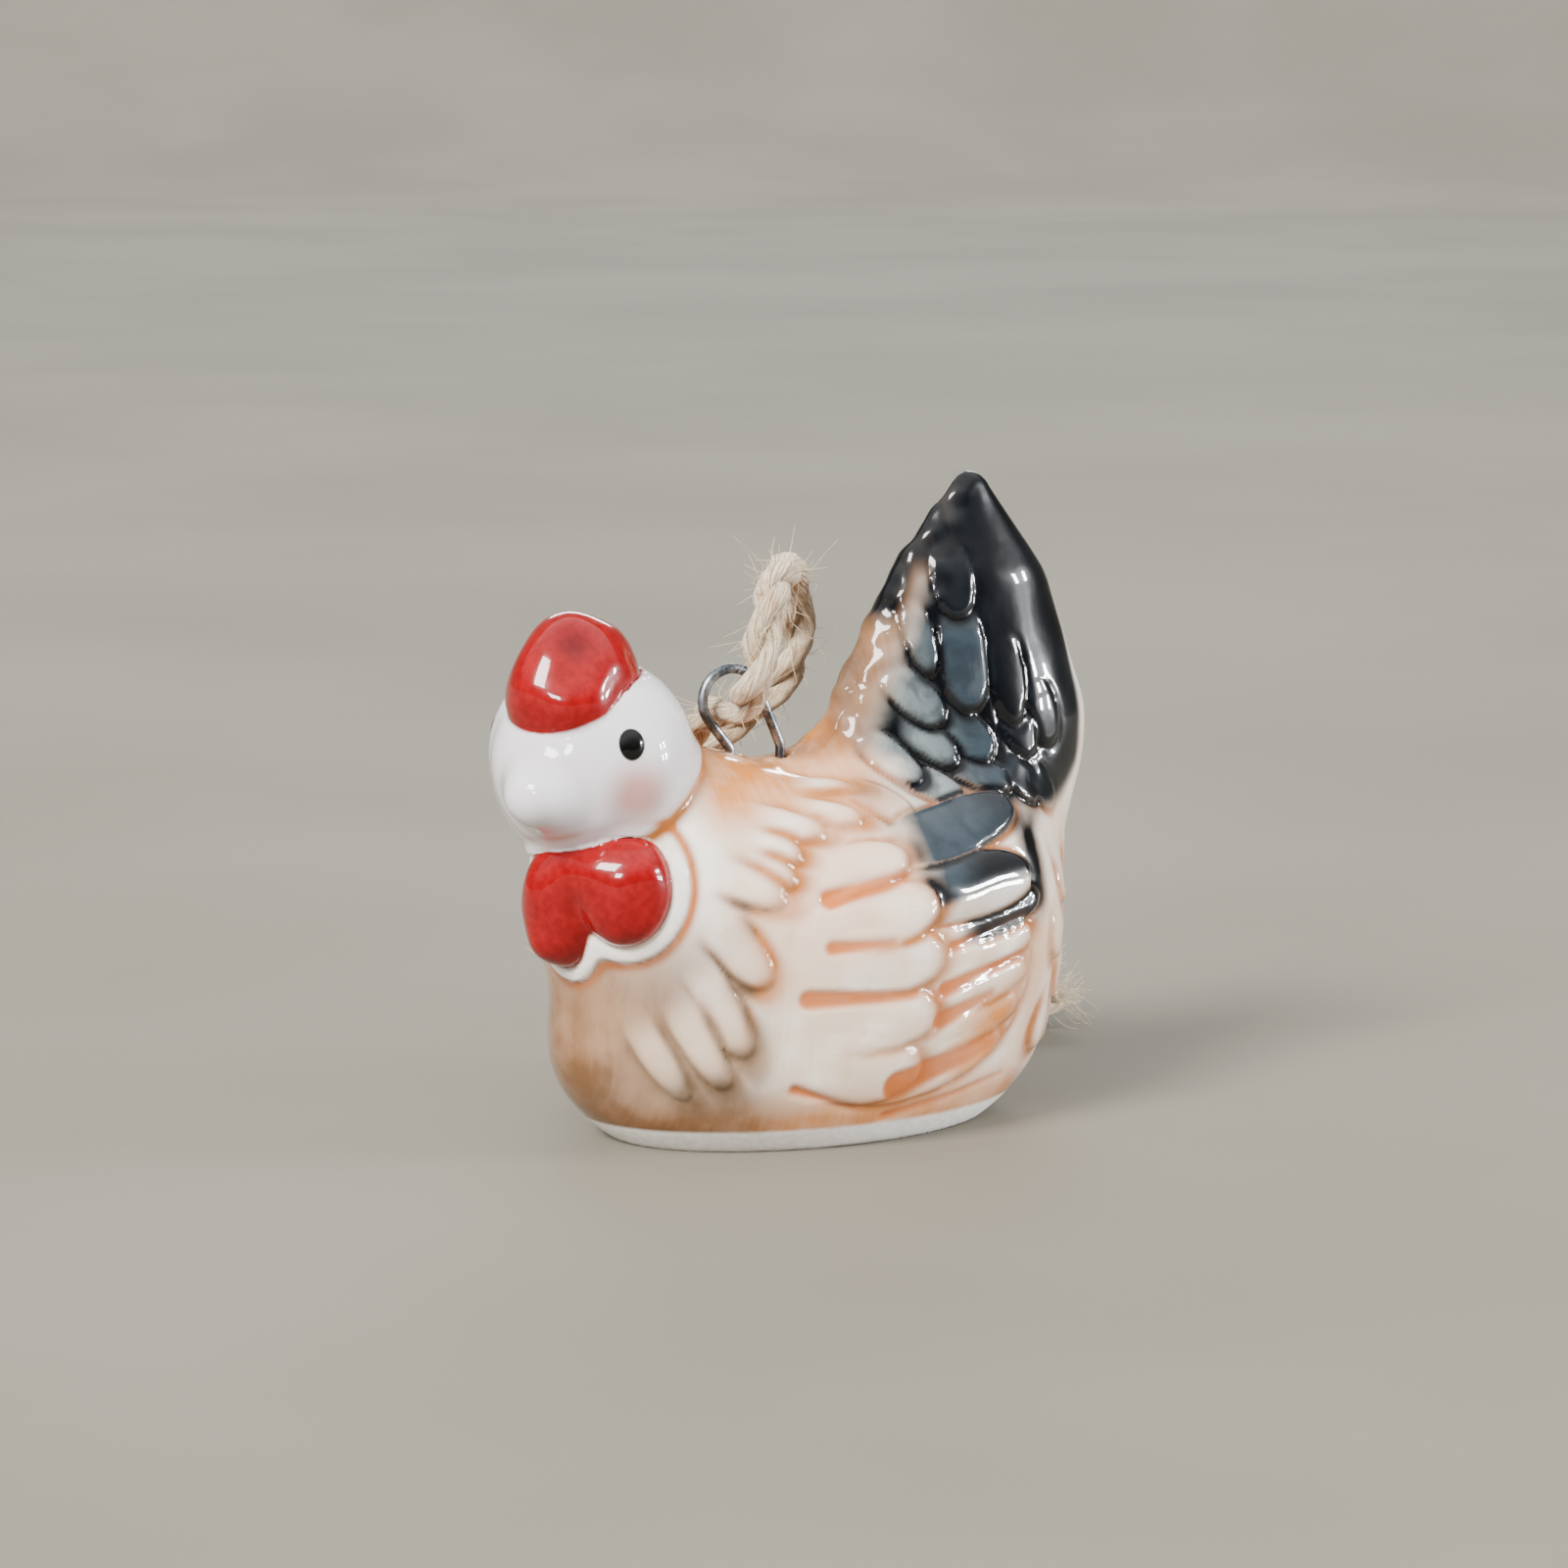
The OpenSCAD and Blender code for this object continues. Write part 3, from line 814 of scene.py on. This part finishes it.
# ---------------------------------------------------------------- hen: where each glaze colour lies
Y, Z = v[:, 1], v[:, 2]
NY = normals[:, 1]
is_tail = ease(Z + 0.35 * (Y - 10), 25.6, 29) * ease(Y, 2, 5)
wedge = ease(Y, 14.4, 16.4) * ease(Z, 15.6, 18.4) * ease(-Z, -26, -23)
rear_rim = ease(NY - 0.02 * np.maximum(Z - 30, 0), 0.47, 0.62) * ease(Y, 14, 18)
front_line = 3 + 0.46 * (Z - 27)
in_grey = is_tail * ease(Y - front_line, -0.5, 2.5)
lower_strip = cover["covert"] * ease(-Z - 0.15 * (10 - Y), -19.9, -18.8)
saddle = ease(Y, 1.5, 4) * ease(-Y, -11, -8) * ease(Z, 22.5, 24.5) * ease(-Z, -29, -27)
grey = np.maximum.reduce([
    in_grey, 0.95 * cover["scale"] * ease(Y, 4.5, 8.5), 1.05 * cover["slate"] * ease(Y, 0.5, 7.5),
    1.05 * cover["covert"] * ease(Y, 1.5, 8) * (1 - 0.7 * lower_strip),
    0.35 * cover["pale"], 0.55 * cover["streak"], cover["night"],
    0.45 * saddle * (1 - cover["pale"]),
])
shadowed = 1 - 0.85 * np.maximum.reduce([cover["scale"], cover["streak"], 0.4 * cover["night"]])
dark = np.maximum.reduce([
    ease(Z, 41.5, 44.5),
    in_grey * shadowed * 0.97,
    in_grey * ease(Y, 14.6, 16.4) * ease(-Y, -20.5, -18.5) * ease(Z, 29, 32),
    cover["night"] * 0.93,
    1.05 * cover["covert"] * ease(Y, 6.5, 11.5) * (1 - 0.97 * lower_strip),
    cover["slate"] * ease(Y + 0.6 * (Z - 23.5), 9.5, 15) * 0.7,
    cover["slate"] * ease(Y, 2, 5) * 0.1,
    np.clip(groove * 1.3, 0, 1) * ease(grey, 0.3, 0.7) * (1 - 0.8 * lower_strip),
    ease(-NY, 0.35, 0.6) * ease(Z, 38, 40.5),
    0.97 * wedge * (1 - cover["flight"]),
])
dark *= 1 - 0.97 * rear_rim
grey *= 1 - 0.9 * rear_rim
face_fade = 1 - ease(-head_d, -HEAD_R - 0.8, -HEAD_R - 0.2)
left_edge = ease(-Y, 13.5, 20)
breast = ease(-Y, 9.5, 16.5) * ease(-Z, -22, -10)
warm = np.maximum.reduce([
    0.95 * ease(Z, 23.5, 27) * ease(Y, -13.5, -10) * ease(-Y, -8, -3) * (1 - 0.75 * cover["hackle"]),
    0.9 * ease(-Z, -7, -2.6),
    0.85 * left_edge * ease(-Z, -20, -12),
    0.6 * breast * (1 - 0.7 * cover["chest"]),
    0.75 * is_tail * (1 - ease(Y - front_line, -1, 2)),
    0.8 * cover["hackle"] * ease(-plume_at[:, 0], -1.2, 2.4),
    0.42 * ease(Y, -13, -9) * ease(-Y, -6, 1) * ease(Z, 11, 17) * (1 - cover["hackle"]),
    0.5 * cover["front"] * ease(-plume_at[:, 0], -2.5, 3),
    0.95 * cover["flight"] * ease(-Z + 0.25 * Y, -11, -6.5),
    0.6 * cover["flight"] * ease(-plume_at[:, 0], -3, 3),
    0.6 * ease(Y, 12, 17) * ease(-Z, -20, -14),
    0.35 * ease(Y, 15, 20) * ease(-Z, -33, -25),
    0.55 * cover["rump"] * ease(-plume_at[:, 0], -1.5, 2.5),
    0.5 * np.clip(groove, 0, 1) * ease(Z, 4, 6),
    dash,
]) * face_fade
warm *= 1 - 0.6 * rear_rim
brown = np.maximum.reduce([
    0.5 * ease(-Y, 6.5, 9) * ease(-Z, -14, -9) * (1 - 0.8 * cover["chest"]),
    0.42 * cover["chest"] * ease(-plume_at[:, 0], -3, 2),
    0.5 * np.clip(groove, 0, 1) * ease(-Y, 8, 10.5),
    0.92 * breast * (1 - 0.7 * cover["chest"]),
    0.85 * ease(-Y, 4, 11) * ease(-Z, -10, -3.5),
    0.5 * ease(-Y, 7.5, 12) * ease(-Z, -20, -15) * (1 - cover["chest"]),
    0.14 * cover["chest"],
    0.9 * is_tail * (1 - ease(Y - front_line, -0.5, 2.5)),
    0.6 * scruffy * ease(Z, 31, 35) * ease(lumps(v, 2.2, 31), -0.2, 0.9),
]) * face_fade
beak_at = egg(v, BEAK, BEAK_R, HEAD_TURN)
# painted shade: a thin brown line in the crease round the beak
beak_crease_shade = np.exp(-(((beak_at - 0.7) / 0.5) ** 2)) * (v[:, 2] > BEAK[2] - 2.4)
brown = np.maximum(brown * (1 - beak_crease_shade), 0.12 * beak_crease_shade)
groove = np.clip(groove + 1.1 * cheek_line + lobe_line, 0, 1)
deep = np.clip(dash + 0.55 * lobe_line, 0, 1)
# the inside of the bell is bare clay
painted = trunk(v) > -WALL / 2
foot_bare = np.maximum(foot_bare, ~painted)
warm, brown, grey = warm * painted, brown * painted, grey * painted
dark, groove, deep = dark * painted, groove * painted, deep * painted


def keep(name, kind, values):
    """Store one value for each point of the hen's mesh, for its material to read."""
    made = hen_data.attributes.new(name, kind, "POINT")
    field = {"FLOAT": "value", "FLOAT_VECTOR": "vector"}[kind]
    made.data.foreach_set(field, np.ascontiguousarray(values, dtype=np.float32).ravel())


keep("wash", "FLOAT_VECTOR", np.stack([warm, grey, dark], 1))
# the brown mask also carries the painted shade round the beak, and the blush mask the painted shade in
# the comb's dimple
keep("marks", "FLOAT_VECTOR", np.stack([groove, brown, blush_and_dimple_shade], 1))
keep("edges", "FLOAT_VECTOR", np.stack([red_in, eye_in, foot_bare], 1))
tint = ease(-Y + 0.25 * (36 - Z), -14, -5) * (1 - cover["slate"] - cover["covert"])
keep("extra", "FLOAT_VECTOR", np.stack([tint, lobe_rim, deep], 1))
keep("plume", "FLOAT_VECTOR", plume_at)
beak_skin = ease(-beak_at, -0.8, -0.2)
keep("head", "FLOAT", np.maximum(1 - face_fade, beak_skin))


# linear pigments under the glaze
CREAM_DEEP = (0.76, 0.6, 0.45, 1)
CREAM = (0.9, 0.83, 0.75, 1)
# the head's white glaze, greyed and cooled towards lavender as painted shade and reflection
HEAD_WHITE_AND_PAINTED_SHADE = (0.68, 0.65, 0.67, 1)
PEACH = (0.57, 0.2, 0.035, 1)
BROWN = (0.11, 0.053, 0.021, 1)
SLATE_DARK = (0.03, 0.044, 0.056, 1)
SLATE_PALE = (0.19, 0.222, 0.23, 1)
SMOKE = (0.012, 0.018, 0.024, 1)
POOLED_ORANGE = (0.4, 0.135, 0.03, 1)
POOLED_BLACK = (0.003, 0.004, 0.005, 1)
POOLED_BROWN = (0.12, 0.068, 0.032, 1)
SLOT_ORANGE = (0.5, 0.125, 0.028, 1)
TAIL_BLACK = (0.0022, 0.0028, 0.004, 1)
BLUSH = (0.42, 0.14, 0.09, 1)
LOBE_WHITE = (0.88, 0.84, 0.8, 1)
SCARLET_DEEP = (0.2, 0.0015, 0.003, 1)
SCARLET = (0.27, 0.003, 0.006, 1)
# painted shade in the comb's dimple
DIMPLE_SHADE_CRIMSON = (0.045, 0.0006, 0.0008, 1)
EYE_BLACK = (0.002, 0.002, 0.002, 1)
CLAY_DEEP = (0.72, 0.69, 0.64, 1)
CLAY = (0.84, 0.81, 0.77, 1)
GLAZED_ROUGH = 0.22
CLAY_ROUGH = 0.85


def glaze_material():
    """Brushed pigments under a clear coat, with bare clay on the foot and inside."""
    m = Shader("glazed_earthenware")
    place = m.place()
    plume = m.attribute("plume").outputs["Vector"]
    warm, grey, dark = m.parts(m.attribute("wash").outputs["Vector"])
    groove, brown, blush_and_dimple_shade = m.parts(m.attribute("marks").outputs["Vector"])
    red, eye, bare = m.parts(m.attribute("edges").outputs["Vector"])
    tint, lobe_rim, deep = m.parts(m.attribute("extra").outputs["Vector"])
    cloud = m.noise(place, 190, 3, 0.5)
    fine = m.noise(place, 1500, 4, 0.6)
    barb = m.noise(m.stretch(plume, 0.32, 2.6, 1), 1.0, 3, 0.6, 0.4)
    drift = m.math("ADD", m.math("MULTIPLY", cloud, 0.82), m.math("MULTIPLY", barb, 0.18))

    cream = m.mix(m.step(drift, 0.35, 0.65), CREAM_DEEP, CREAM)
    # the head and beak are glazed white; the grey lavender cast on that white is painted shade and
    # reflection
    cream = m.mix(m.attribute("head").outputs["Fac"], cream, HEAD_WHITE_AND_PAINTED_SHADE)
    warm_at = m.math("MULTIPLY", warm, m.step(drift, 0.34, 0.64, 0.6, 1.05), clamp=True)
    tone = m.mix(warm_at, cream, PEACH)
    # the brown also carries the painted shade in the crease round the beak
    brown_at = m.math("MULTIPLY", brown, m.step(drift, 0.34, 0.66, 0.7, 1.0), clamp=True)
    tone = m.mix(brown_at, tone, BROWN)
    grey_at = m.math("MULTIPLY", grey, m.step(drift, 0.35, 0.65, 1.08, 0.98), clamp=True)
    slate = m.mix(m.step(tint, 0.05, 0.95), SLATE_DARK, SLATE_PALE)
    smoke = m.step(m.noise(place, 420, 3, 0.6, 0.6), 0.38, 0.66, 0.0, 0.55)
    slate = m.mix(smoke, slate, SMOKE)
    tone = m.mix(grey_at, tone, slate)
    # orange-brown or black glaze pooled in the grooves
    pooled = m.mix(m.math("MAXIMUM", grey, dark), POOLED_ORANGE, POOLED_BLACK)
    pooled = m.mix(m.step(brown, 0.12, 0.4), pooled, POOLED_BROWN)
    groove_at = m.math("MULTIPLY", groove, m.step(cloud, 0.34, 0.58, 0.5, 1.0), clamp=True)
    tone = m.mix(groove_at, tone, pooled)
    tone = m.mix(m.math("MULTIPLY", deep, 0.85), tone, SLOT_ORANGE)
    dark_at = m.math("MULTIPLY", dark, m.step(drift, 0.35, 0.65, 1.08, 0.94), clamp=True)
    tone = m.mix(dark_at, tone, TAIL_BLACK)
    tone = m.mix(m.math("MULTIPLY", blush_and_dimple_shade, 0.75), tone, BLUSH)
    rimmed = m.math("MULTIPLY", lobe_rim, 0.85)
    tone = m.mix(rimmed, tone, LOBE_WHITE)
    scarlet = m.mix(m.step(fine, 0.3, 0.7), SCARLET_DEEP, SCARLET)
    # painted shade: the red darkens to crimson in the comb's dimple
    scarlet = m.mix(m.math("MULTIPLY", blush_and_dimple_shade, 0.7), scarlet, DIMPLE_SHADE_CRIMSON)
    red_edge = m.math("ADD", red, m.math("MULTIPLY", m.math("SUBTRACT", cloud, 0.5), 0.5))
    tone = m.mix(m.step(red_edge, -0.06, 0.26), tone, scarlet)
    tone = m.mix(m.step(eye, 0.0, 0.14), tone, EYE_BLACK)
    clay = m.mix(m.step(fine, 0.3, 0.7), CLAY_DEEP, CLAY)
    tone = m.mix(bare, tone, clay)

    rough = m.mix(bare, (GLAZED_ROUGH,) * 3 + (1,), (CLAY_ROUGH,) * 3 + (1,))
    coat = m.math("SUBTRACT", 1.0, bare)
    ripple = m.noise(place, 380, 2, 0.4)
    grain = m.math("MULTIPLY", fine, bare)
    height = m.math("ADD", m.math("MULTIPLY", ripple, 0.5), m.math("MULTIPLY", grain, 0.3))
    m.set(base_color=tone, roughness=rough, normal=m.bump(height, 0.16 * MM, 0.6))
    m.put(coat, m.bsdf.inputs["Coat Weight"])
    m.bsdf.inputs["Specular IOR Level"].default_value = 0.1
    m.bsdf.inputs["Coat Roughness"].default_value = 0.03
    m.bsdf.inputs["Coat IOR"].default_value = 1.35
    return m.material


hen_data.materials.append(glaze_material())
hen_piece = bpy.data.objects.new("hen_glazed", hen_data)
scene.collection.objects.link(hen_piece)
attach(hen_piece, "shell")
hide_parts("hen_shell")


# ---------------------------------------------------------------- wire, ring, pin and bead materials
def steel_material(name, pale, dark, rough_low, rough_high):
    """Drawn steel wire with dull clouds and fine scratches along it."""
    m = Shader(name)
    place = m.place()
    cloud = m.noise(place, 900, 4, 0.6)
    scratch = m.noise(m.stretch(place, 1, 1, 0.2), 5200, 3, 0.6)
    tone = m.mix(m.step(cloud, 0.35, 0.65), srgb(*dark), srgb(*pale))
    rough = m.step(scratch, 0.3, 0.7, rough_low, rough_high)
    m.set(base_color=tone, roughness=rough, normal=m.bump(scratch, 0.02 * MM, 0.5))
    m.bsdf.inputs["Metallic"].default_value = 1.0
    return m.material


def bead_material():
    """Turned pale wood."""
    m = Shader("bead_wood")
    place = m.place()
    ring = m.noise(m.stretch(place, 1, 0.28, 1), 900, 4, 0.6, 1.4)
    pore = m.noise(m.stretch(place, 1, 0.12, 1), 4200, 3, 0.7)
    tone = m.mix(m.step(ring, 0.35, 0.65), srgb(190, 146, 96), srgb(216, 178, 130))
    tone = m.mix(m.step(pore, 0.55, 0.75, 0, 0.5), tone, srgb(140, 98, 58))
    rough = m.step(pore, 0.3, 0.7, 0.45, 0.65)
    m.set(base_color=tone, roughness=rough, normal=m.bump(pore, 0.05 * MM, 0.5))
    return m.material


def repaint(node, material):
    """Give a CAD piece that stays as it is its own material."""
    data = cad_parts[node].data
    data.materials.clear()
    data.materials.append(material)


repaint("hanger_wire", steel_material("hanger_steel", (150, 154, 160), (74, 78, 84), 0.28, 0.5))
bright = steel_material("bright_wire", (190, 192, 196), (128, 130, 136), 0.2, 0.38)
repaint("clapper_ring", bright)
repaint("clapper_pin", bright)
repaint("clapper_bead", bead_material())


# ---------------------------------------------------------------- floor and light
def stage_floor():
    """A pale floor that curves up into a backdrop behind the hen."""
    m = Shader("floor")
    cloud = m.noise(m.place(), 9, 3, 0.5)
    tone = m.mix(m.step(cloud, 0.3, 0.7), srgb(106, 101, 89), srgb(115, 110, 98))
    m.set(base_color=tone)
    m.bsdf.inputs["Roughness"].default_value = 0.8
    size, curve_at, curve_r, tall, curve_steps = 8.0, 1.6, 0.6, 3.0, 12
    away = Vector((-back.x, -back.y, 0)).normalized()
    across = Vector((away.y, -away.x, 0))
    rows = [(-size, 0.0), (curve_at, 0.0)]
    for k in range(1, curve_steps + 1):
        a = math.pi / 2 * k / curve_steps
        rows.append((curve_at + curve_r * math.sin(a), curve_r - curve_r * math.cos(a)))
    rows.append((curve_at + curve_r, tall))
    points, faces = [], []
    for reach, z in rows:
        for s in (-size, size):
            p = away * reach + across * s
            points.append((p.x, p.y, z))
    for k in range(len(rows) - 1):
        faces.append((2 * k, 2 * k + 1, 2 * k + 3, 2 * k + 2))
    floor = mesh_object("floor", points, faces, m.material)


def lamp(name, turn, rise, away, width, height, power, colour=(1, 1, 1), aim=(0, 0, 0.022)):
    """A soft rectangular light at an azimuth and elevation round the hen."""
    a, e = math.radians(turn), math.radians(rise)
    aim = Vector(aim)
    spot = aim + away * Vector((math.sin(a) * math.cos(e), -math.cos(a) * math.cos(e), math.sin(e)))
    data = bpy.data.lights.new(name, "AREA")
    data.shape = "RECTANGLE"
    data.size = width
    data.size_y = height
    data.energy = power
    data.color = colour
    made = bpy.data.objects.new(name, data)
    scene.collection.objects.link(made)
    made.location = spot
    made.rotation_euler = (aim - spot).to_track_quat("-Z", "Y").to_euler()


stage_floor()
lamp("soft_front", 22, 38, 2.2, 0.74, 0.64, 122, (1.0, 0.975, 0.94))
for k, turn in enumerate((144, 153)):
    for j, rise in enumerate((5, 15)):
        lamp(f"window_{k}_{j}", turn, rise, 0.9, 0.04, 0.075, 3.6, (0.95, 0.97, 1.0))
lamp("window_left", 38, 20, 0.9, 0.09, 0.12, 3.4, (0.97, 0.98, 1.0))
lamp("backdrop_wash", 242, 30, 0.5, 1.4, 0.5, 70, (0.93, 0.97, 1.0), (-1.6, 0.85, 0.5))

# a pale studio ceiling over darker walls
world = bpy.data.worlds.new("world")
scene.world = world
world.use_nodes = True
sky = world.node_tree
around = sky.nodes.new("ShaderNodeTexCoord")
height = sky.nodes.new("ShaderNodeSeparateXYZ")
rise = sky.nodes.new("ShaderNodeMapRange")
rise.interpolation_type = "SMOOTHSTEP"
sky.links.new(around.outputs["Generated"], height.inputs[0])
sky.links.new(height.outputs[2], rise.inputs["Value"])
for socket, value in (("From Min", 0.15), ("From Max", 0.95), ("To Min", 0.1), ("To Max", 2.2)):
    rise.inputs[socket].default_value = value
sky.nodes["Background"].inputs[0].default_value = (0.83, 0.84, 0.84, 1)
sky.links.new(rise.outputs[0], sky.nodes["Background"].inputs[1])
